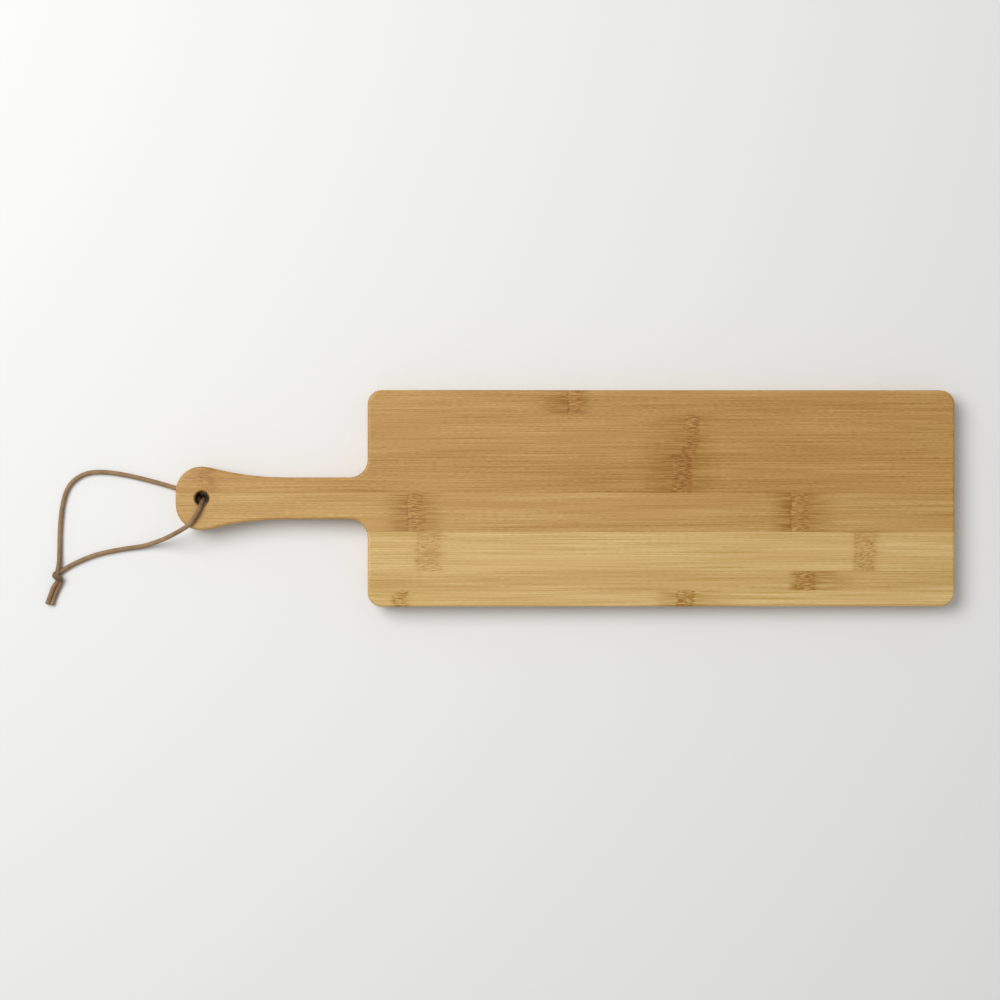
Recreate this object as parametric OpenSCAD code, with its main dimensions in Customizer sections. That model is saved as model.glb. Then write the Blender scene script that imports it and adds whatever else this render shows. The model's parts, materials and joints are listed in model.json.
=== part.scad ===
// Bamboo serving paddle: three glued plies of strips, cut to one outline, with a tied hanging cord.
// Lengths are in millimetres. The board lies on a table, face up, handle towards -X.

/* [Board] */
// Length of the board with its handle
board_l = 500; // [410:1:620]
// Length of the rectangular blade
blade_l = 377; // [280:1:420]
// Width of the blade
blade_w = 139; // [100:1:200]
// Radius of the blade's four corners
blade_corner_r = 9; // [4:0.5:20]
// Radius that rounds every edge of both faces
edge_r = 2; // [0.5:0.1:3]

/* [Handle] */
// Width of the neck
neck_w = 27; // [20:0.5:36]
// Width of the knob at the handle's end
knob_w = 41; // [38:0.5:60]
// Radius of the knob's two corners
knob_corner_r = 16.5; // [12:0.5:18]
// Radius of the hollow flank between knob and neck
flank_r = 190; // [120:5:260]
// Radius of the hollow root between neck and blade
root_r = 11.5; // [4:0.5:20]

/* [Hanging hole] */
// Diameter of the hole
hole_d = 9; // [8.5:0.1:12]
// Distance from the handle's end to the middle of the hole
hole_inset = 17; // [14:0.5:24]
// Width of the bevel on both rims of the hole
hole_bevel = 1; // [0.3:0.1:1.5]

/* [Lay-up] */
// Thickness of each of the three plies
ply_t = 5; // [4:0.1:8]
// Distance from the board's middle line to the seam along its handle
handle_seam_y = 3.5; // [0:0.5:8]
// Width of a whole strip in the two outer plies
strip_w = 25; // [18:0.5:32]
// Width of the cut strip at the blade's upper edge
first_strip_w = 16; // [8:0.5:24]
// Width of the split strip near the lower edge
split_strip_w = 12.5; // [6:0.5:16]
// Width of the other half of the split strip, at the lower edge
last_strip_w = 10.5; // [6:0.5:16]
// Width of a strip in the crosswise core
core_strip_w = 24; // [18:0.5:32]
// Width of the core strip under the knob
knob_core_w = 27; // [18:0.5:32]
// Width of the core strip at the blade's far end
end_core_w = 17; // [12:0.5:32]
// Number of core strips in the handle
handle_core_count = 5; // [3:1:8]
// Number of core strips in the blade
blade_core_count = 16; // [10:1:24]

/* [Cord] */
// Diameter of the leather cord
cord_d = 3; // [2.4:0.1:3.2]
// Room between the cord and what it passes
cord_gap = 0.3; // [0.2:0.05:0.5]
// Length of the knot
knot_l = 6; // [5:0.5:7]
// Thickness of the strand that is wound in the tight knot, as a part of the cord's
knot_turn_share = 0.85; // [0.75:0.05:1]
// Thickness of the strand that the knot is wound round, as a part of the cord's
knot_core_share = 0.5; // [0.45:0.05:0.6]

/* [Hidden] */
// How far a strip reaches past the knob or the hole that is cut in it
strip_margin = 1;
// Shortest straight neck between the hollow flank and the hollow root
least_neck_l = 1;
// How far cutters run past what they cut
overrun = 20;

// Steps along the outline's arcs, over the rounded edge, from point to point of the cord and round it
knob_steps = 8;
flank_steps = 4;
corner_steps = 6;
edge_steps = 4;
span_steps = 3;
cord_sides = 8;

// Where the outline's arcs have their centres
board_t = 3 * ply_t;
end_x = -board_l / 2;
blade_x = board_l / 2 - blade_l;
corner_y = blade_w / 2 - blade_corner_r;
knob_x = end_x + knob_corner_r;
knob_y = knob_w / 2 - knob_corner_r;
hole_x = end_x + hole_inset;

// Both hollow radii are limited by the neck, from where the knob's round meets it to the blade
knob_rise = neck_w / 2 - knob_y;
neck_x = knob_x + sqrt(pow(knob_corner_r, 2) - pow(knob_rise, 2));
root_fit_r = min(root_r, (blade_x - neck_x) / 2);
root_x = blade_x - root_fit_r;
root_y = neck_w / 2 + root_fit_r;
flank_room = root_x - least_neck_l - knob_x;
flank_limit_r = (pow(flank_room, 2) / (knob_corner_r - knob_rise) - knob_corner_r - knob_rise) / 2;
flank_fit_r = min(flank_r, flank_limit_r);
flank_y = neck_w / 2 + flank_fit_r;
flank_x = knob_x + sqrt(pow(flank_fit_r + knob_corner_r, 2) - pow(flank_y - knob_y, 2));
flank_a = atan2(flank_y - knob_y, flank_x - knob_x);

// The board leans on the cord under its handle: its far bottom edge touches the table
rest_x = board_l / 2 - edge_r;
prop_x = hole_x + hole_d / 2;
rest_tilt = atan((cord_d + cord_gap) / (rest_x - prop_x));

// Strips ripped in proportion to their widths so that they fill the room they have, and where they meet
function ripped(widths, room) = widths * room / (widths * [for (w = widths) 1]);
function seams(widths) = let (last = len(widths) - 1)
    [for (i = 0, at = 0; i <= last + 1; at = at + (i <= last ? widths[i] : 0), i = i + 1) at];

// Two strips carry the handle, wide enough for its knob; the rest fill the blade above and below them
handle_strip_w = max(strip_w, knob_w / 2 + handle_seam_y + strip_margin);
upper_strips = ripped([first_strip_w, strip_w], blade_w / 2 - handle_seam_y - handle_strip_w);
lower_strips = ripped([strip_w, split_strip_w, last_strip_w], blade_w / 2 + handle_seam_y - handle_strip_w);
strip_edges = seams(concat(upper_strips, [handle_strip_w, handle_strip_w], lower_strips));
strip_count = len(strip_edges) - 1;

// One core strip holds the hole; the rest fill the handle up to the blade, and the blade to its far end
knob_strip_w = max(knob_core_w, hole_inset + hole_d / 2 + strip_margin);
neck_core = ripped([for (i = [2 : handle_core_count]) core_strip_w], board_l - blade_l - knob_strip_w);
blade_core = ripped([for (i = [2 : blade_core_count]) core_strip_w, end_core_w], blade_l);
core_edges = seams(concat([knob_strip_w], neck_core, blade_core));
core_count = len(core_edges) - 1;

// Tones of the bamboo, from the upper edge down, and of the core and cord
strip_tones = ["#b68c53", "#b48d52", "#b38b54", "#bd945b", "#ccab73", "#c8a46d", "#cdad75"];
core_tones = ["#c29a5f", "#b98f55", "#caa56b"];
cord_tone = "#8a6a48";

// The knot's middle, and how tight its turn is
knot_x = -328.6;
knot_y = -50.3;
knot_turn_cord_r = cord_d / 2 * knot_turn_share;
knot_core_cord_r = cord_d / 2 * knot_core_share;
knot_turn_r = knot_turn_cord_r + knot_core_cord_r + cord_gap / 2;
knot_z = knot_turn_cord_r + knot_turn_r;
knot_taper_l = 2 * cord_d;

// The cord's route, from the right tail's end to the left tail's end, as it lies on the table
tail_a_route = [[-332.4, -69.2, 1.5], [-329.9, -61.8, 1.6], [-327.4, -55.4, 1.9]];
face_leg_route = [[-325, -46.2, 1.5], [-316, -41.3, 1.5], [-303, -36.3, 1.5], [-288, -33.1, 1.6],
    [-274, -31, 2.4], [-266.5, -28.9, 4.8], [-259.5, -26.5, 8.8], [-252.5, -23.5, 14.2],
    [-246, -20.2, 18.6], [-241, -16.8, 20.2], [-236.2, -10.8, 20.3], [-233.9, -6.1, 20.3],
    [-233, -3.7, 19.6], [-232.4, -2, 17.8], [-232.2, -1.3, 15.2]];
under_leg_route = [[-232.5, -0.4, 11], [-233, 0.4, 6.8], [-233.9, 0.7, 4.2], [-235.6, 1.3, 2.3],
    [-239, 2.4, 1.55], [-245.5, 4.5, 1.55], [-254, 7.2, 1.5]];
back_loop_route = [[-268, 11.2, 1.5], [-284, 15, 1.5], [-298, 17, 1.5], [-309, 16.4, 1.5],
    [-317, 12.6, 1.5], [-322.4, 6.2, 1.5], [-325.6, -4, 1.5], [-327.2, -18.5, 1.6],
    [-327.6, -33.5, 1.6], [-327.8, -42.3, 2.6], [knot_x, -47.5, knot_z], [knot_x, -53.3, knot_z]];
tail_b_route = [[-331.5, -57.4, 2.8], [-333.7, -62.8, 1.7], [-335.8, -68.4, 1.5]];

// The knot is one turn of the right strand round the left one
knot_first_a = -30;
knot_last_a = 300;
knot_step_a = 30;
knot_route = [for (a = [knot_first_a : knot_step_a : knot_last_a])
    let (along_share = (a - knot_first_a) / (knot_last_a - knot_first_a))
    [knot_x + knot_turn_r * cos(a), knot_y + knot_l * (along_share - 1 / 2), knot_z + knot_turn_r * sin(a)]];

// The whole route in order, and the places along it where one stretch ends and the next begins
cord_route = concat(tail_a_route, knot_route, face_leg_route, under_leg_route, back_loop_route, tail_b_route);
knot_from = len(tail_a_route);
face_leg_from = knot_from + len(knot_route) - 1;
under_leg_from = face_leg_from + len(face_leg_route);
back_loop_from = under_leg_from + len(under_leg_route);
tail_b_from = back_loop_from + len(back_loop_route);
route_last = len(cord_route) - 1;

function two_digits(i) = str(i < 10 ? "0" : "", i);
FACE_NODES = [for (i = [1 : strip_count]) str("face_strip_", i)];
CORE_NODES = [for (i = [1 : core_count]) str("core_strip_", two_digits(i))];
BACK_NODES = [for (i = [1 : strip_count]) str("back_strip_", i)];
CORD_NODES = ["cord_face_leg", "cord_under_leg", "cord_back_loop", "cord_knot", "cord_tail_1", "cord_tail_2"];

// Points on an arc about c, from angle a to angle b
function arc(c, r, a, b, steps, from = 0) =
    [for (i = [from : steps]) c + r * [cos(a + (b - a) * i / steps), sin(a + (b - a) * i / steps)]];

// The upper half of the board's outline, drawn in by inset, from the knob to the blade's far end
function half_outline(inset) = concat(
    arc([knob_x, knob_y], knob_corner_r - inset, 180, flank_a, knob_steps),
    arc([flank_x, flank_y], flank_fit_r + inset, 180 + flank_a, 270, flank_steps, 1),
    arc([root_x, root_y], root_fit_r + inset, 270, 360, corner_steps),
    arc([blade_x + blade_corner_r, corner_y], blade_corner_r - inset, 180, 90, corner_steps),
    arc([board_l / 2 - blade_corner_r, corner_y], blade_corner_r - inset, 90, 0, corner_steps));

// The whole outline: the upper half, then its mirror image on the way back
function outline(inset) =
    let (half = half_outline(inset), last = len(half) - 1)
    concat(half, [for (i = [last : -1 : 0]) [half[i].x, -half[i].y]]);

// Lays the board, drawn flat about its middle, onto its far edge and the cord
module as_it_lies() {
    translate([rest_x, 0, 0]) rotate([0, rest_tilt, 0]) translate([-rest_x, 0, 0]) children();
}

// An outer ply with its upper edge rounded: rings of the outline, joined side to side
module outer_ply() {
    half_count = len(half_outline(0));
    ring_count = 2 * half_count;
    shoulder = knob_steps + flank_steps + corner_steps + 1;
    edge_rings = [for (i = [0 : edge_steps]) let (a = 90 * i / edge_steps)
        [edge_r * (1 - cos(a)), ply_t - edge_r * (1 - sin(a))]];
    rings = concat([[0, 0]], edge_rings);
    points = [for (ring = rings) for (p = outline(ring[0])) [p.x, p.y, ring[1]]];
    sides = [for (k = [0 : len(rings) - 2]) for (j = [0 : ring_count - 1])
        let (n = (j + 1) % ring_count, low = k * ring_count, high = low + ring_count)
        [low + j, low + n, high + n, high + j]];
    // Each flat face is cut across into convex pieces; the blade's shoulders share one
    cap = [for (i = [0 : half_count - 2]) if (i != shoulder)
        let (a = i, b = i + 1, c = ring_count - 1 - b, d = ring_count - 1 - a)
        i == shoulder + 1 ? [b, c, d, d + 1, a - 1, a] : [a, b, c, d]];
    top = (len(rings) - 1) * ring_count;
    floor_faces = [for (f = cap) [for (i = [0 : len(f) - 1]) f[(len(f) - i) % len(f)]]];
    top_faces = [for (f = cap) [for (i = f) top + i]];
    polyhedron(points, concat(sides, floor_faces, top_faces));
}

// The hole through the handle, bevelled at both rims
module hanging_hole() {
    translate([hole_x, 0, -overrun]) cylinder(d = hole_d, h = board_t + 2 * overrun, $fn = 64);
    translate([hole_x, 0, board_t - hole_bevel])
        cylinder(d1 = hole_d, d2 = hole_d + 4 * hole_bevel, h = 2 * hole_bevel, $fn = 64);
    translate([hole_x, 0, -hole_bevel])
        cylinder(d1 = hole_d + 4 * hole_bevel, d2 = hole_d, h = 2 * hole_bevel, $fn = 64);
}

// The lengthwise band of an outer ply that strip i of the lay-up fills
module strip_band(i) {
    top_y = blade_w / 2 - strip_edges[i - 1] + (i == 1 ? overrun : 0);
    low_y = blade_w / 2 - strip_edges[i] - (i == strip_count ? overrun : 0);
    translate([end_x - overrun, low_y, -overrun])
        cube([board_l + 2 * overrun, top_y - low_y, board_t + 2 * overrun]);
}

module face_strip(i) {
    color(strip_tones[(i - 1) % len(strip_tones)]) as_it_lies() difference() {
        intersection() {
            translate([0, 0, 2 * ply_t]) outer_ply();
            strip_band(i);
        }
        hanging_hole();
    }
}

// The back ply has the face's lay-up turned over, so its seams don't meet the face's
module back_strip(i) {
    color(strip_tones[(i + 1) % len(strip_tones)]) as_it_lies() difference() {
        intersection() {
            translate([0, 0, ply_t]) mirror([0, 0, 1]) outer_ply();
            mirror([0, 1, 0]) strip_band(i);
        }
        hanging_hole();
    }
}

// A core strip lies across the board and ends flush with its edge
module core_strip(i) {
    from_x = end_x + core_edges[i - 1] - (i == 1 ? overrun : 0);
    to_x = end_x + core_edges[i] + (i == core_count ? overrun : 0);
    color(core_tones[i % len(core_tones)]) as_it_lies() translate([0, 0, ply_t])
        linear_extrude(ply_t) difference() {
            intersection() {
                polygon(outline(0));
                translate([from_x, -blade_w / 2 - overrun]) square([to_x - from_x, blade_w + 2 * overrun]);
            }
            translate([hole_x, 0]) circle(d = hole_d, $fn = 64);
        }
}

// One smooth curve through the points of the route, in even steps from each point to the next
function on_span(i, s) =
    let (a = cord_route[max(i - 1, 0)], b = cord_route[i])
    let (c = cord_route[i + 1], d = cord_route[min(i + 2, route_last)])
    (2 * b + s * (c - a) + s * s * (2 * a - 5 * b + 4 * c - d) + s * s * s * (3 * b - a - 3 * c + d)) / 2;
cord_path = [for (i = [0 : route_last - 1]) for (k = [0 : span_steps - 1]) on_span(i, k / span_steps),
    cord_route[route_last]];
path_last = len(cord_path) - 1;

// The cord's radius along the curve: each strand is squeezed in the knot and tapers on its way out
function cord_r(i) =
    let (away = norm(cord_path[i] - [knot_x, knot_y, knot_z]) - knot_l / 2)
    let (open_share = min(max(away / knot_taper_l, 0), 1))
    let (tight_share = i < under_leg_from * span_steps ? knot_turn_share : knot_core_share)
    cord_d / 2 * (tight_share + (1 - tight_share) * open_share);

// The cord's direction at each point of the curve, and a side direction carried along it
function unit(v) = v / norm(v);
function ahead(i) = unit(cord_path[min(i + 1, path_last)] - cord_path[max(i - 1, 0)]);
function square_to(v, t) = unit(v - (v * t) * t);
cord_side = [for (i = 0, v = square_to([0, 0, 1], ahead(0)); i <= path_last;
    i = i + 1, v = i <= path_last ? square_to(v, ahead(i)) : v) v];

// A stretch of the cord between two points of its route, as one tube
module cord_stretch(from, to) {
    first = from * span_steps;
    last = to * span_steps;
    points = [for (i = [first : last]) let (v = cord_side[i], w = cross(ahead(i), v))
        for (k = [0 : cord_sides - 1]) let (a = 360 * (k + 1 / 2) / cord_sides)
        cord_path[i] + cord_r(i) * (cos(a) * v + sin(a) * w)];
    walls = [for (i = [0 : last - first - 1]) for (k = [0 : cord_sides - 1])
        let (n = (k + 1) % cord_sides, low = i * cord_sides, high = low + cord_sides)
        each [[low + k, high + k, high + n], [low + k, high + n, low + n]]];
    first_end = [for (k = [0 : cord_sides - 1]) k];
    last_end = [for (k = [cord_sides - 1 : -1 : 0]) (last - first) * cord_sides + k];
    color(cord_tone) polyhedron(points, concat(walls, [first_end, last_end]));
}

module cord_tail_1() {
    cord_stretch(0, knot_from);
}

module cord_knot() {
    cord_stretch(knot_from, face_leg_from);
}

module cord_face_leg() {
    cord_stretch(face_leg_from, under_leg_from);
}

module cord_under_leg() {
    cord_stretch(under_leg_from, back_loop_from - 1);
}

module cord_back_loop() {
    cord_stretch(back_loop_from - 1, tail_b_from - 1);
}

module cord_tail_2() {
    cord_stretch(tail_b_from - 1, route_last);
}

for (i = [1 : strip_count]) face_strip(i);
for (i = [1 : core_count]) core_strip(i);
for (i = [1 : strip_count]) back_strip(i);
cord_face_leg();
cord_under_leg();
cord_back_loop();
cord_knot();
cord_tail_1();
cord_tail_2();
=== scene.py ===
"""Looks for a bamboo serving paddle and its tied leather cord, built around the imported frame."""
import json
import math
from collections import namedtuple

import bpy
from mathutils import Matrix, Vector


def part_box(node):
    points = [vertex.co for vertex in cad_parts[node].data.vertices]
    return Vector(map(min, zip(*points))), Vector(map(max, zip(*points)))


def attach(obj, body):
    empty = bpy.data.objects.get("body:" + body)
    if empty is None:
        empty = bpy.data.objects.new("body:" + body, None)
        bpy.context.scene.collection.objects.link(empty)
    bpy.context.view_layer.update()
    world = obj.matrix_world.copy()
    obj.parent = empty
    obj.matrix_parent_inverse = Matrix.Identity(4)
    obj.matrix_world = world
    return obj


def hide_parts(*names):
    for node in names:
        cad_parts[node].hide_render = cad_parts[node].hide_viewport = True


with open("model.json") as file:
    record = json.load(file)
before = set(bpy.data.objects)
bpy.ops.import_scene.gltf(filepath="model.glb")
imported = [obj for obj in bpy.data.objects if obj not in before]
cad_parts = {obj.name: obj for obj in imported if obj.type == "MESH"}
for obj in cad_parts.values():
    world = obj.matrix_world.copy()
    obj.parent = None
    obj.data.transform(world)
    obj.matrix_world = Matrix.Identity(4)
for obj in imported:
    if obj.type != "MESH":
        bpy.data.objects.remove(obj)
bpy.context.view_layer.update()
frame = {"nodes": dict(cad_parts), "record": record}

MM = 0.001
MOUNTS = {mount["name"]: mount for mount in frame["record"]["mounts"]}

# The photograph looks straight down; one of its pixels spans this much of the top face
PHOTO_PIXELS = 1000
PIXEL_SPAN = 0.641 * MM
CAMERA_HEIGHT = 1.25
CAMERA_X = -42 * MM
CAMERA_Y = -1 * MM
SENSOR_WIDTH = 36.0


def add_camera():
    """Straight above the top face, framed as the photograph is."""
    data = bpy.data.cameras.new("camera")
    data.sensor_width = SENSOR_WIDTH
    data.lens = SENSOR_WIDTH * CAMERA_HEIGHT / (PHOTO_PIXELS * PIXEL_SPAN)
    camera = bpy.data.objects.new("camera", data)
    top = MOUNTS["serving_face"]["pos_m"][2]
    camera.location = (CAMERA_X, CAMERA_Y, top + CAMERA_HEIGHT)
    bpy.context.scene.collection.objects.link(camera)
    bpy.context.scene.camera = camera


# Colours


def srgb(red, green, blue):
    """A colour given as it looks on screen, from 0 to 255, as Blender's linear RGBA."""
    def linear(level):
        share = level / 255
        return share / 12.92 if share <= 0.04045 else ((share + 0.055) / 1.055) ** 2.4
    return (linear(red), linear(green), linear(blue), 1.0)


def tinted(colour, tint):
    """A linear colour with its channels multiplied by a tint's red, green and blue."""
    return (*(min(level * share, 1) for level, share in zip(colour, tint)), 1.0)


def blend(start, end, share):
    """A colour between two others, or a little past either."""
    return tuple(a + (b - a) * share for a, b in zip(start, end))


# Shader building


class Num:
    """A number that varies over a surface: arithmetic on it adds Math nodes to its material."""

    def __init__(self, shade, socket):
        self.shade = shade
        self.socket = socket

    def __add__(self, other):
        return self.shade.math("ADD", self, other)

    def __sub__(self, other):
        return self.shade.math("SUBTRACT", self, other)

    def __rsub__(self, other):
        return self.shade.math("SUBTRACT", other, self)

    def __mul__(self, other):
        return self.shade.math("MULTIPLY", self, other)

    def __truediv__(self, other):
        return self.shade.math("DIVIDE", self, other)

    def __abs__(self):
        return self.shade.math("ABSOLUTE", self)

    __radd__ = __add__


class Shade:
    """One material, with short calls for the nodes used here. Inputs are numbers, colours or Nums."""

    def __init__(self, name):
        self.material = bpy.data.materials.new(name)
        self.material.use_nodes = True
        self.tree = self.material.node_tree
        self.surface = self.tree.nodes["Principled BSDF"]

    def feed(self, socket, value):
        """Links a Num to a socket, or sets a plain value on it."""
        if isinstance(value, Num):
            self.tree.links.new(value.socket, socket)
        else:
            socket.default_value = value

    def node(self, kind, **settings):
        """A new node of a kind, with its settings."""
        made = self.tree.nodes.new("ShaderNode" + kind)
        for key, value in settings.items():
            setattr(made, key, value)
        return made

    def math(self, operation, *values):
        """The result of one Math node."""
        made = self.node("Math", operation=operation)
        for socket, value in zip(made.inputs, values):
            self.feed(socket, value)
        return Num(self, made.outputs[0])

    def place(self):
        """Where a point lies in the row frame, in millimetres."""
        coordinates = self.node("TexCoord").outputs["Object"]
        split = self.node("SeparateXYZ")
        self.tree.links.new(coordinates, split.inputs[0])
        return [Num(self, axis) / MM for axis in split.outputs]

    def upward(self):
        """How far the surface faces up: 1 on top, 0 on an upright side, -1 below."""
        normal = self.node("TexCoord").outputs["Normal"]
        split = self.node("SeparateXYZ")
        self.tree.links.new(normal, split.inputs[0])
        return Num(self, split.outputs["Z"])

    def distance(self, x, y, middle):
        """How far a place in millimetres lies from an upright line through a point in metres."""
        across = x - middle.x / MM
        along = y - middle.y / MM
        return self.math("SQRT", across * across + along * along)

    def vector(self, x, y, z):
        """Three numbers as one vector."""
        made = self.node("CombineXYZ")
        for socket, value in zip(made.inputs, (x, y, z)):
            self.feed(socket, value)
        return Num(self, made.outputs[0])

    def noise(self, x, y, z, detail=0.0):
        """Smooth noise about zero, with cells one unit across."""
        made = self.node("TexNoise")
        self.feed(made.inputs["Vector"], self.vector(x, y, z))
        self.feed(made.inputs["Scale"], 1.0)
        self.feed(made.inputs["Detail"], detail)
        return Num(self, made.outputs["Fac"]) - 0.5

    def cells(self, x, y, z):
        """Distance to the nearest of scattered points, one to each unit cell."""
        made = self.node("TexVoronoi")
        self.feed(made.inputs["Vector"], self.vector(x, y, z))
        self.feed(made.inputs["Scale"], 1.0)
        return Num(self, made.outputs["Distance"])

    def rise(self, value, low, high):
        """From 0 at low to 1 at high, eased at both ends."""
        made = self.node("MapRange", interpolation_type="SMOOTHSTEP")
        for socket, given in zip(made.inputs, (value, low, high, 0.0, 1.0)):
            self.feed(socket, given)
        return Num(self, made.outputs[0])

    def mix(self, share, start, end):
        """Colours mixed by a share that is held between 0 and 1."""
        made = self.node("Mix", data_type="RGBA")
        self.feed(made.inputs[0], share)
        self.feed(made.inputs[6], start)
        self.feed(made.inputs[7], end)
        return Num(self, made.outputs[2])

    def bump(self, height, depth):
        """Surface relief of the given depth in metres."""
        made = self.node("Bump")
        self.feed(made.inputs["Strength"], 1.0)
        self.feed(made.inputs["Distance"], depth)
        self.feed(made.inputs["Height"], height)
        self.feed(self.surface.inputs["Normal"], Num(self, made.outputs["Normal"]))


# Bamboo

FACE_STRIPS = [f"face_strip_{i}" for i in range(1, 8)]
BACK_STRIPS = [f"back_strip_{i}" for i in range(1, 8)]
CORE_STRIPS = [f"core_strip_{i:02d}" for i in range(1, 22)]
BORED_STRIPS = {"face_strip_3", "face_strip_4", "back_strip_3", "back_strip_4", "core_strip_01"}

# Each strip shows another stretch of the same grain: its number, counted from here, is its stretch
FACE_SEED = 1
BACK_SEED = 11
CORE_SEED = 31
SEED_STEP = 731.0

# A strip's paleness sets its tone: 0 is tan and 1 is pale
TAN = srgb(178, 134, 67)
PALE = srgb(203, 169, 105)
FACE_PALENESS = [0.06, 0.06, 0.02, 0.26, 1.0, 0.74, 1.06]
BACK_PALENESS = [0.15, 0.8, 1.0, 0.3, 0.9, 0.1, 0.25]
CORE_PALENESS = [0.55, 0.15, 0.85]

# Tints that a strip's tone is multiplied by
GRAIN_DARK = (0.7, 0.58, 0.15)
GRAIN_PALE = (1.3, 1.42, 1.85)
BLUSH_TINT = (1.0, 0.92, 0.9)
GLUE_TINT = (0.5, 0.42, 0.36)
STAIN_TINT = (0.6, 0.43, 0.08)
BROWN_TINT = (0.55, 0.34, 0)
LINE_TINT = (0.5, 0.32, 0.05)
SPECK_TINT = (0.35, 0.22, 0.05)
PALE_TINT = (1.3, 1.25, 1.1)
# The colour of the painted shade on the hole's wall and just round its rim
BORE_SHADE_COLOUR = srgb(74, 48, 28)

# A layer of the grain: the size of its cells along and across the fibres in mm, how much it counts, and
# how many finer octaves it has. The fibres wander by up to half of WANDER's weight in mm
Layer = namedtuple("Layer", "long wide weight detail", defaults=[1, 0])
WANDER = Layer(160, 15, 0.9)
BROAD = Layer(150, 7, 0.5, 1)
FIBRE = Layer(85, 1.1, 0.45)
THREAD = Layer(55, 0.6, 0.85)
FLECK = Layer(3.5, 0.6, 0.62)
FLECK_LOSS_WHEN_PALE = 0.28
VESSEL = Layer(60, 1.3, 0.06)
VESSEL_FADE = (0.08, 0.3)
BLUSH = Layer(70, 10, 0.4)
BLUSH_FADE = (0, 0.25)
MEAN_SHADE = 0.515

# Relief of the grain, as shares of its depth, and its gloss
GRAIN_DEPTH = 0.05 * MM
VESSEL_SINKS = 0.4
KNUCKLE_SINKS = 0.5
WOOD_ROUGHNESS = 0.47
FIBRE_ROUGHNESS = 0.3
VESSEL_ROUGHNESS = 0.06
WOOD_SPECULAR = 0.5

# A knuckle of the cane. Its middle along the strip, half its width, and how far its fibres are stained
# on either side, all in mm; then how strong the stains, the line at its left edge, its brown strokes,
# its pale strokes and its dark specks are
Knuckle = namedtuple("Knuckle", "at half left right stain line dark light speck", defaults=[0])
FACE_KNUCKLES = [
    [Knuckle(6.4, 4.8, 26, 9, 0.9, 0.3, 0.75, 0.4)],
    [Knuckle(80.4, 4.5, 36, 16, 0.6, 0.05, 0.85, 0.25)],
    [Knuckle(74.8, 6.1, 28, 22, 0.8, 0.05, 1, 0.2),
     Knuckle(-229.2, 3.7, 5, 7, 0.3, 0.05, 0.5, 0.25)],
    [Knuckle(-95.8, 5.1, 20, 16, 0.85, 0.3, 0.8, 0.4),
     Knuckle(150, 5.4, 18, 24, 1, 0.3, 0.75, 0.5)],
    [Knuckle(-87.5, 7, 5, 7, 0.3, 0.05, 0.52, 0.1, 0.8),
     Knuckle(192.2, 6.3, 4, 7, 0.3, 0.1, 0.6, 0.1, 1)],
    [Knuckle(154.1, 6, 7, 34, 0.95, 0.05, 1, 0.15)],
    [Knuckle(-105.6, 4.1, 5, 5, 0.4, 0.05, 1, 0.1),
     Knuckle(77, 5, 22, 38, 0.85, 0.05, 1.5, 0)],
]
BACK_KNUCKLES = [
    [Knuckle(-62, 5, 12, 9, 0.5, 0.3, 0.6, 0.4)],
    [Knuckle(118, 5.5, 8, 12, 0.3, 0.2, 0.5, 0.3)],
    [Knuckle(-20, 6, 5, 6, 0.2, 0.3, 0.5, 0.2),
     Knuckle(-214, 4, 6, 6, 0.25, 0.1, 0.35, 0.2)],
    [Knuckle(176, 5.5, 14, 10, 0.6, 0.3, 0.65, 0.4)],
    [Knuckle(34, 6.5, 4, 5, 0.2, 0.3, 0.5, 0.1)],
    [Knuckle(-98, 5, 14, 12, 0.5, 0.2, 0.7, 0.4)],
    [Knuckle(205, 5, 9, 8, 0.4, 0.1, 0.6, 0.4)],
]

# A knuckle's outline bends and frays: the length of the waves across the strip and their height, in mm
BEND_L = 6
BEND_H = 3
FRAY_L = 0.9
FRAY_H = 6

# How a knuckle's parts fade in: at its left and right edge and beside its line, in mm
LEFT_FADE = (-1.2, 0.8)
RIGHT_FADE = (-1.5, 1.5)
STAIN_STOP = 0.8
LINE_FADE = (0.3, 1.0)

# A knuckle's strokes, specks and stained streaks, and the noise levels between which they fade in
TANGLE = Layer(2.5, 3, 1.1)
STROKE = Layer(4.5, 0.42, detail=1)
BROWN_FADE = (0.04, -0.05)
PALE_FADE = (0.02, 0.1)
STREAK = Layer(22, 0.8, detail=1)
STREAK_FADE = (0.1, -0.1)
BETWEEN_STREAKS = 0.2
SPECK = Layer(2.4, 1.8)
SPECK_FADE = (0.1, 0.24)
RIGHT_STAIN = 0.8

# Glue lines, in mm, and how dark they are. A side further out than FREE_EDGE is the board's own edge
PLY_T = 5.0
PLY_FADE = (0.05, 0.2)
PLY_GLUE = 0.5
SIDE_FADE = (0.05, 0.3)
SIDE_GLUE = 0.2
FREE_EDGE = 69 * MM

# The hole, and painted shade over its wall that fades out just outside it, in mm from the wall of the hole
HOLE_AT = Vector((-0.233, 0.0, 0.0))
HOLE_R = 4.5
BORE_SHADE_FADE = (0.1, 0.6)
BORE_PAINTED_SHADE = 0.75

# The frame's corners are joined within this distance, and edges steeper than this stay sharp
JOIN_DISTANCE = 0.002 * MM
SHARP_ANGLE = math.radians(32)


def board_height(x, z):
    """Height above the board's underside, which leans a little on the table."""
    under = MOUNTS["underside"]["pos_m"]
    axis = MOUNTS["serving_face"]["axis"]
    slope = axis[0] / axis[2]
    return z - under[2] / MM + (x - under[0] / MM) * slope


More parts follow.
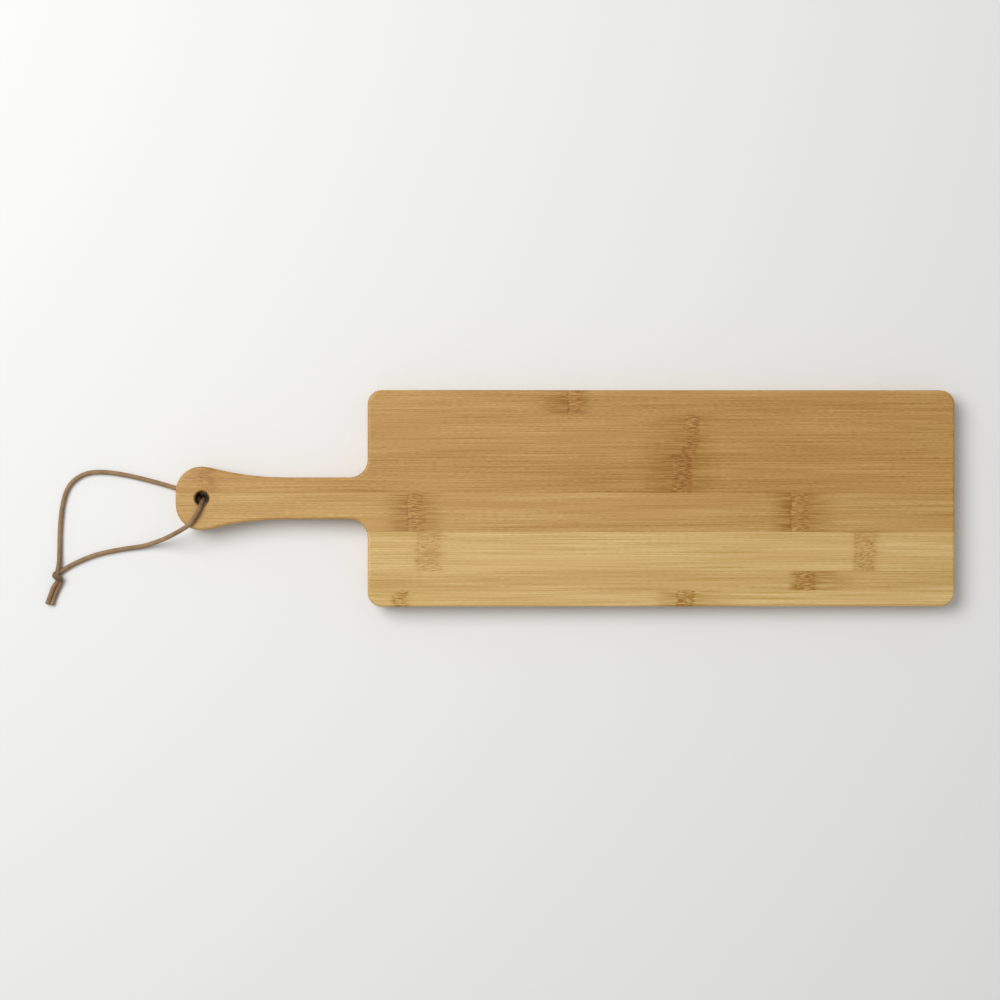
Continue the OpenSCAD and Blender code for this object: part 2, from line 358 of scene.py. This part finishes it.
def add_grain(s, tone, paleness, far, lane, height):
    """Fine long fibres, and vessels that show as dots on the end grain: colour, relief and roughness."""
    def layer(kind):
        return s.noise(far / kind.long, lane / kind.wide, height / kind.wide, kind.detail)

    fibre = layer(FIBRE)
    thread = layer(THREAD)
    blush = s.rise(layer(BLUSH), *BLUSH_FADE)
    dots = s.cells(far / VESSEL.long, lane / VESSEL.wide, height / VESSEL.wide)
    vessel = 1 - s.rise(dots, *VESSEL_FADE)

    shade = layer(BROAD) * BROAD.weight + fibre * FIBRE.weight + thread * THREAD.weight
    shade = shade - vessel * VESSEL.weight + MEAN_SHADE
    shade = shade + layer(FLECK) * (FLECK.weight - FLECK_LOSS_WHEN_PALE * paleness)
    colour = s.mix(shade, tinted(tone, GRAIN_DARK), tinted(tone, GRAIN_PALE))
    colour = s.mix(blush * BLUSH.weight, colour, tinted(tone, BLUSH_TINT))
    relief = fibre + thread - vessel * VESSEL_SINKS
    roughness = WOOD_ROUGHNESS + fibre * FIBRE_ROUGHNESS + vessel * VESSEL_ROUGHNESS
    return colour, relief, roughness


def add_knuckle(s, colour, tone, k, along, across, seed):
    """Stained fibres beside a knuckle and its band of short, tangled strokes: colour and sunk relief."""
    place = k.at + seed * SEED_STEP

    def layer(kind, lane):
        return s.noise(along / kind.long, lane / kind.wide, place, kind.detail)

    def streaky(noise, fade):
        return s.rise(noise, *fade) * (1 - BETWEEN_STREAKS) + BETWEEN_STREAKS

    left, right = -k.half, k.half
    edge = along - k.at + s.noise(place, across / BEND_L, seed) * BEND_H
    frayed = edge + s.noise(place, across / FRAY_L, seed) * FRAY_H
    band = s.rise(frayed, left + LEFT_FADE[0], left + LEFT_FADE[1])
    band = band * (1 - s.rise(frayed, right + RIGHT_FADE[0], right + RIGHT_FADE[1]))
    before = s.rise(edge, left - k.left, left) * (1 - s.rise(edge, left, left + STAIN_STOP))
    after = s.rise(frayed, 0, right) * (1 - s.rise(frayed, right, right + k.right))
    line = 1 - s.rise(abs(edge - left), *LINE_FADE)

    stroke = layer(STROKE, across + layer(TANGLE, across) * TANGLE.weight)
    speck = 1 - s.rise(s.cells(along / SPECK.long, across / SPECK.wide, place), *SPECK_FADE)
    streak = streaky(layer(STREAK, across), STREAK_FADE)
    stain = (before + after * RIGHT_STAIN) * streak * k.stain
    brown = band * streaky(stroke, BROWN_FADE) * k.dark
    pale = band * s.rise(stroke, *PALE_FADE) * k.light

    marks = [(stain, STAIN_TINT), (brown, BROWN_TINT), (line * k.line, LINE_TINT),
             (band * speck * k.speck, SPECK_TINT), (pale, PALE_TINT)]
    for share, tint in marks:
        colour = s.mix(share, colour, tinted(tone, tint))
    return colour, brown - pale


def add_glue(s, colour, tone, node, across, height, crosswise):
    """Thin dark lines where a strip meets its neighbours in its ply and the plies meet each other."""
    glue = tinted(tone, GLUE_TINT)
    low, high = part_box(node)
    for side in (low.x, high.x) if crosswise else (low.y, high.y):
        if crosswise or abs(side) < FREE_EDGE:
            seam = 1 - s.rise(abs(across - side / MM), *SIDE_FADE)
            colour = s.mix(seam * SIDE_GLUE, colour, glue)
    for joint in (PLY_T, 2 * PLY_T):
        seam = 1 - s.rise(abs(height - joint), *PLY_FADE)
        colour = s.mix(seam * PLY_GLUE, colour, glue)
    return colour


def bamboo(node, paleness, seed, knuckles=(), crosswise=False):
    """A strip's material: its grain, the cane's knuckles, glue lines and painted shade in the hole."""
    s = Shade("bamboo_" + node)
    tone = blend(TAN, PALE, paleness)
    x, y, z = s.place()
    height = board_height(x, z)
    along, across = (y, x) if crosswise else (x, y)
    far = along + seed * SEED_STEP
    wander = s.noise(far / WANDER.long, across / WANDER.wide, height / WANDER.wide)
    lane = across + wander * WANDER.weight

    colour, relief, roughness = add_grain(s, tone, paleness, far, lane, height)
    for k in knuckles:
        colour, sunk = add_knuckle(s, colour, tone, k, along, lane, seed)
        relief = relief - sunk * KNUCKLE_SINKS
    colour = add_glue(s, colour, tone, node, across, height, crosswise)
    # Painted shade on the hole's wall, fading out just outside it
    if node in BORED_STRIPS:
        painted_bore_shade = 1 - s.rise(s.distance(x, y, HOLE_AT) - HOLE_R, *BORE_SHADE_FADE)
        colour = s.mix(painted_bore_shade * BORE_PAINTED_SHADE, colour, BORE_SHADE_COLOUR)

    s.feed(s.surface.inputs["Base Color"], colour)
    s.feed(s.surface.inputs["Roughness"], roughness)
    s.surface.inputs["Specular IOR Level"].default_value = WOOD_SPECULAR
    s.bump(relief, GRAIN_DEPTH)
    return s.material


def smooth_edges():
    """Modifier tree that joins the frame's split corners and shades all but the true edges smooth."""
    tree = bpy.data.node_groups.new("smooth_edges", "GeometryNodeTree")
    tree.interface.new_socket("Geometry", in_out="INPUT", socket_type="NodeSocketGeometry")
    tree.interface.new_socket("Geometry", in_out="OUTPUT", socket_type="NodeSocketGeometry")
    start = tree.nodes.new("NodeGroupInput")
    end = tree.nodes.new("NodeGroupOutput")
    bare = tree.nodes.new("GeometryNodeRemoveAttribute")
    bare.inputs["Name"].default_value = "custom_normal"
    joined = tree.nodes.new("GeometryNodeMergeByDistance")
    joined.inputs["Distance"].default_value = JOIN_DISTANCE
    smooth = tree.nodes.new("GeometryNodeSetShadeSmooth")
    sharp = tree.nodes.new("GeometryNodeSetShadeSmooth")
    sharp.domain = "EDGE"
    sharp.inputs["Shade Smooth"].default_value = False
    angle = tree.nodes.new("GeometryNodeInputMeshEdgeAngle")
    steep = tree.nodes.new("FunctionNodeCompare")
    steep.operation = "GREATER_THAN"
    steep.inputs["B"].default_value = SHARP_ANGLE
    link = tree.links.new
    link(start.outputs[0], bare.inputs["Geometry"])
    link(bare.outputs[0], joined.inputs["Geometry"])
    link(joined.outputs[0], smooth.inputs["Geometry"])
    link(smooth.outputs[0], sharp.inputs["Geometry"])
    link(angle.outputs["Unsigned Angle"], steep.inputs["A"])
    link(steep.outputs[0], sharp.inputs["Selection"])
    link(sharp.outputs[0], end.inputs[0])
    return tree


def dress_strip(node, material, smoothing):
    """Gives a frame strip its bamboo and smooth rounded edges, with the flat faces kept flat."""
    piece = frame["nodes"][node]
    piece.data.materials.clear()
    piece.data.materials.append(material)
    modifier = piece.modifiers.new("smooth_edges", "NODES")
    modifier.node_group = smoothing
    weighted = piece.modifiers.new("flat_faces", "WEIGHTED_NORMAL")
    weighted.keep_sharp = True


def dress_board():
    """Gives every strip of the three plies a bamboo of its own."""
    smoothing = smooth_edges()
    lengthwise = [(FACE_STRIPS, FACE_PALENESS, FACE_KNUCKLES, FACE_SEED),
                  (BACK_STRIPS, BACK_PALENESS, BACK_KNUCKLES, BACK_SEED)]
    for nodes, palenesses, knuckles, seed in lengthwise:
        for i, node in enumerate(nodes):
            dress_strip(node, bamboo(node, palenesses[i], seed + i, knuckles[i]), smoothing)
    for i, node in enumerate(CORE_STRIPS):
        paleness = CORE_PALENESS[i % len(CORE_PALENESS)]
        dress_strip(node, bamboo(node, paleness, CORE_SEED + i, crosswise=True), smoothing)


# Leather cord

CORD_D = 3 * MM
CORD_STEP = 0.7 * MM
CORD_SIDES = 20

# The knot is drawn tight and swollen; in the frame its strands are plain tubes
KNOT_AT = Vector((-0.3286, -0.0503, 0.00345))
KNOT_L = 5 * MM
KNOT_TURN_R = 1.45 * MM
KNOT_ANGLES = range(-30, 301, 30)
TURN_SWELL = 1.32
CORE_SWELL = 0.9
SWELL_FADE_L = 4 * MM

# The cord's route, from the right tail's end to the left tail's end. The left tail leans on the right one
TAIL_A = [(-0.3328, -0.06905, 0.0015), (-0.3302, -0.0617, 0.0016), (-0.3274, -0.0554, 0.0019)]
FACE_LEG = [(-0.325, -0.0462, 0.0015), (-0.316, -0.0413, 0.0015), (-0.303, -0.0363, 0.0015),
            (-0.288, -0.0331, 0.0016), (-0.274, -0.031, 0.0024), (-0.2665, -0.0289, 0.0048),
            (-0.2595, -0.0265, 0.0088), (-0.2525, -0.0235, 0.0142), (-0.246, -0.0202, 0.0186),
            (-0.241, -0.0168, 0.0202), (-0.2362, -0.0108, 0.0203), (-0.2339, -0.0061, 0.0203),
            (-0.233, -0.0037, 0.0196), (-0.2324, -0.002, 0.0178), (-0.2322, -0.0013, 0.0152)]
UNDER_LEG = [(-0.2325, -0.0004, 0.011), (-0.233, 0.0004, 0.0068), (-0.2339, 0.0007, 0.0042),
             (-0.2356, 0.0013, 0.0023), (-0.239, 0.0024, 0.00155), (-0.2455, 0.0045, 0.00155),
             (-0.254, 0.0072, 0.0015)]
BACK_LOOP = [(-0.268, 0.0112, 0.0015), (-0.284, 0.015, 0.0015), (-0.298, 0.017, 0.0015),
             (-0.309, 0.0164, 0.0015), (-0.317, 0.0126, 0.0015), (-0.3224, 0.0062, 0.0015),
             (-0.3256, -0.004, 0.0015), (-0.3272, -0.0185, 0.0016), (-0.3276, -0.0335, 0.0016),
             (-0.3278, -0.0423, 0.0026), (KNOT_AT.x, -0.0475, KNOT_AT.z),
             (KNOT_AT.x, -0.0533, KNOT_AT.z)]
TAIL_B = [(-0.3312, -0.0575, 0.0032), (-0.3333, -0.0629, 0.0029), (-0.3354, -0.0685, 0.0025)]

# Leather's tone, the tints that it is multiplied by, and the tones of a cut end
LEATHER_TONE = srgb(150, 121, 88)
LEATHER_DARK = (0.5, 0.45, 0.4)
LEATHER_PALE = (1.4, 1.42, 1.45)
CUT_DARK = srgb(140, 108, 76)
CUT_PALE = srgb(196, 164, 124)

# The size of leather's marks in mm, how much each shades it, and how finely it is broken up
Mark = namedtuple("Mark", "size weight detail", defaults=[1, 0])
MOTTLE = Mark(6, 1.1, 2)
CREASE = Mark(0.9, 0.5, 2)
PORE = Mark(0.35, 0.25)
CUT_FIBRE = Mark(0.3, detail=2)
LEATHER_SHADE = 0.4

# Where leather is darker: how far from the knot or hole in mm it starts and ends, and how much darker it
# is. HANDLED is wear; the rest is painted shade, and on the flanks it goes by how far the surface faces up
# or down
# Painted shade on the cord's flanks: full where the surface faces sideways, gone where it faces up or down
# this much
FLANK_SHADE_FADE = (0.15, 0.75)
FLANK_PAINTED_SHADE = 0.1
KNOT_HANDLED = (8, 30)
HOLE_HANDLED = (12, 40)
HANDLED_DARK = 0.15
# Painted shade over the knot, where its strands crowd together
KNOT_SHADE_REACH = (3, 7)
KNOT_PAINTED_SHADE = 0.2
# Painted shadow on the cord inside the hole and at its rim
HOLE_SHADOW_REACH = (2, 5.5)
HOLE_PAINTED_SHADOW = 0.35

# Relief and gloss of leather and of its cut ends
LEATHER_DEPTH = 0.12 * MM
CREASE_SINKS = 0.8
LEATHER_ROUGHNESS = 0.6
MOTTLE_ROUGHNESS = 0.3
LEATHER_SPECULAR = 0.3
CUT_DEPTH = 0.2 * MM
CUT_ROUGHNESS = 0.85


def knot_turn():
    """One turn of the right strand round the left one."""
    first, last = KNOT_ANGLES[0], KNOT_ANGLES[-1]
    for degrees in KNOT_ANGLES:
        a = math.radians(degrees)
        along = KNOT_L * ((degrees - first) / (last - first) - 0.5)
        yield KNOT_AT + Vector((KNOT_TURN_R * math.cos(a), along, KNOT_TURN_R * math.sin(a)))


def smooth_path(points, step):
    """Points a step apart along one smooth curve through all the given points."""
    ends = [points[0], *points, points[-1]]
    fine = []
    for a, b, c, d in zip(ends, ends[1:], ends[2:], ends[3:]):
        count = max(2, math.ceil((c - b).length / step * 4))
        for i in range(count):
            t = i / count
            fine.append(0.5 * (2 * b + (c - a) * t + (2 * a - 5 * b + 4 * c - d) * t ** 2
                               + (3 * b - a - 3 * c + d) * t ** 3))
    fine.append(points[-1].copy())
    path = [fine[0]]
    since = 0.0
    for p, q in zip(fine, fine[1:]):
        since += (q - p).length
        if since >= step:
            path.append(q)
            since = 0.0
    return path


def cord_radius(p, swell):
    """A strand swells or narrows in the knot."""
    away = (p - KNOT_AT).length - KNOT_L / 2
    fade = min(max(away / SWELL_FADE_L, 0), 1)
    return CORD_D / 2 * (swell + (1 - swell) * fade)


def tube(name, path, radii, sides):
    """A closed tube along a path, its rings turned as little as possible from one to the next."""
    side = Vector((0, 0, 1))
    points = []
    for i, (p, radius) in enumerate(zip(path, radii)):
        ahead = (path[min(i + 1, len(path) - 1)] - path[max(i - 1, 0)]).normalized()
        side = (side - ahead * side.dot(ahead)).normalized()
        other = ahead.cross(side)
        for k in range(sides):
            a = 2 * math.pi * k / sides
            points.append(p + (side * math.cos(a) + other * math.sin(a)) * radius)
    faces = []
    for i in range(len(path) - 1):
        low, high = i * sides, (i + 1) * sides
        for k in range(sides):
            n = (k + 1) % sides
            faces.append((low + k, low + n, high + n, high + k))
    faces.append(tuple(reversed(range(sides))))
    faces.append(tuple((len(path) - 1) * sides + k for k in range(sides)))
    mesh = bpy.data.meshes.new(name)
    mesh.from_pydata(points, [], faces)
    for face in mesh.polygons[:-2]:
        face.use_smooth = True
    made = bpy.data.objects.new(name, mesh)
    bpy.context.scene.collection.objects.link(made)
    return made


def in_cells(place, mark):
    """A place counted in cells of a mark's size."""
    return [axis / mark.size for axis in place]


def leather():
    """Matt brown leather: mottled, with fine pores and creases, darker handled places, painted shade on its
    flanks and knot, and a painted shadow in the hole.
    """
    s = Shade("cord_leather")
    place = s.place()
    from_knot = s.distance(*place[:2], KNOT_AT)
    from_hole = s.distance(*place[:2], HOLE_AT)
    mottle = s.noise(*in_cells(place, MOTTLE), MOTTLE.detail)
    pores = s.cells(*in_cells(place, PORE))
    crease = s.noise(*in_cells(place, CREASE), CREASE.detail)
    # Painted shade on the flanks, where the surface faces sideways
    painted_flank_shade = 1 - s.rise(abs(s.upward()), *FLANK_SHADE_FADE)
    handled = 1 - s.rise(from_knot, *KNOT_HANDLED) * s.rise(from_hole, *HOLE_HANDLED)
    # Painted shade over the knot
    tied = 1 - s.rise(from_knot, *KNOT_SHADE_REACH)
    # Painted shadow on the cord inside the hole
    painted_hole_shadow = 1 - s.rise(from_hole, *HOLE_SHADOW_REACH)

    # Handled wear, together with the painted shade and painted shadow, darkens the leather
    worn_and_painted_shade = painted_flank_shade * FLANK_PAINTED_SHADE + handled * HANDLED_DARK + tied * KNOT_PAINTED_SHADE + painted_hole_shadow * HOLE_PAINTED_SHADOW
    shade = mottle * MOTTLE.weight + crease * CREASE.weight + pores * PORE.weight + LEATHER_SHADE - worn_and_painted_shade
    colour = s.mix(shade, tinted(LEATHER_TONE, LEATHER_DARK), tinted(LEATHER_TONE, LEATHER_PALE))
    s.feed(s.surface.inputs["Base Color"], colour)
    s.feed(s.surface.inputs["Roughness"], LEATHER_ROUGHNESS + mottle * MOTTLE_ROUGHNESS)
    s.surface.inputs["Specular IOR Level"].default_value = LEATHER_SPECULAR
    s.bump(pores + crease * CREASE_SINKS, LEATHER_DEPTH)
    return s.material


def cut_leather():
    """The paler, fibrous end of a cut cord."""
    s = Shade("cord_cut_end")
    fibre = s.noise(*in_cells(s.place(), CUT_FIBRE), CUT_FIBRE.detail)
    s.feed(s.surface.inputs["Base Color"], s.mix(fibre + 0.5, CUT_DARK, CUT_PALE))
    s.surface.inputs["Roughness"].default_value = CUT_ROUGHNESS
    s.bump(fibre, CUT_DEPTH)
    return s.material


def add_leg(name, path, swell, nodes, skins):
    """One leg of the cord, from inside the hole to the end of its tail."""
    leg = tube(name, path, [cord_radius(p, swell) for p in path], CORD_SIDES)
    for skin in skins:
        leg.data.materials.append(skin)
    for face in leg.data.polygons[-2:]:
        face.material_index = 1
    length = sum((q - p).length for p, q in zip(path, path[1:]))
    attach(leg, "cord")
    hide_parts(*nodes)


def add_cord():
    """The hanging cord: its two legs leave the hole above and below the handle and are tied together."""
    front = [*map(Vector, TAIL_A), *knot_turn(), *map(Vector, FACE_LEG)]
    back = [*map(Vector, UNDER_LEG), *map(Vector, BACK_LOOP), *map(Vector, TAIL_B)]
    path = smooth_path(front + back, CORD_STEP)
    in_hole = (front[-1] + back[0]) / 2
    middle = min(range(len(path)), key=lambda i: (path[i] - in_hole).length)
    skins = leather(), cut_leather()
    front_nodes = ["cord_face_leg", "cord_knot", "cord_tail_1"]
    back_nodes = ["cord_under_leg", "cord_back_loop", "cord_tail_2"]
    add_leg("cord_front", path[middle::-1], TURN_SWELL, front_nodes, skins)
    add_leg("cord_back", path[middle:], CORE_SWELL, back_nodes, skins)


# Floor and light

FLOOR_REACH = 30.0
FLOOR_COLOUR = (0.8, 0.8, 0.79, 1)
FLOOR_ROUGHNESS = 0.9
LAMP_AT = Vector((-1.0, 0.6, 1.6))
LAMP_SIZE = 1.4
LAMP_POWER = 30
SURROUND_COLOUR = (1, 1, 1, 1)
SURROUND_STRENGTH = 0.45


def add_floor():
    """A plain pale table top."""
    mesh = bpy.data.meshes.new("floor")
    corners = [(-1, -1), (1, -1), (1, 1), (-1, 1)]
    mesh.from_pydata([(x * FLOOR_REACH, y * FLOOR_REACH, 0) for x, y in corners], [], [(0, 1, 2, 3)])
    floor = bpy.data.objects.new("floor", mesh)
    bpy.context.scene.collection.objects.link(floor)
    material = bpy.data.materials.new("floor")
    material.use_nodes = True
    surface = material.node_tree.nodes["Principled BSDF"]
    surface.inputs["Base Color"].default_value = FLOOR_COLOUR
    surface.inputs["Roughness"].default_value = FLOOR_ROUGHNESS
    mesh.materials.append(material)


def add_light():
    """A broad soft lamp from the upper left and an even pale surround."""
    data = bpy.data.lights.new("key", "AREA")
    data.shape = "DISK"
    data.size = LAMP_SIZE
    data.energy = LAMP_POWER
    lamp = bpy.data.objects.new("key", data)
    lamp.location = LAMP_AT
    lamp.rotation_euler = (-LAMP_AT).to_track_quat("-Z", "Y").to_euler()
    bpy.context.scene.collection.objects.link(lamp)
    world = bpy.data.worlds.new("surround")
    world.use_nodes = True
    background = world.node_tree.nodes["Background"]
    background.inputs["Color"].default_value = SURROUND_COLOUR
    background.inputs["Strength"].default_value = SURROUND_STRENGTH
    bpy.context.scene.world = world


add_camera()
add_cord()
dress_board()
add_floor()
add_light()
bpy.context.scene.view_settings.view_transform = "Standard"
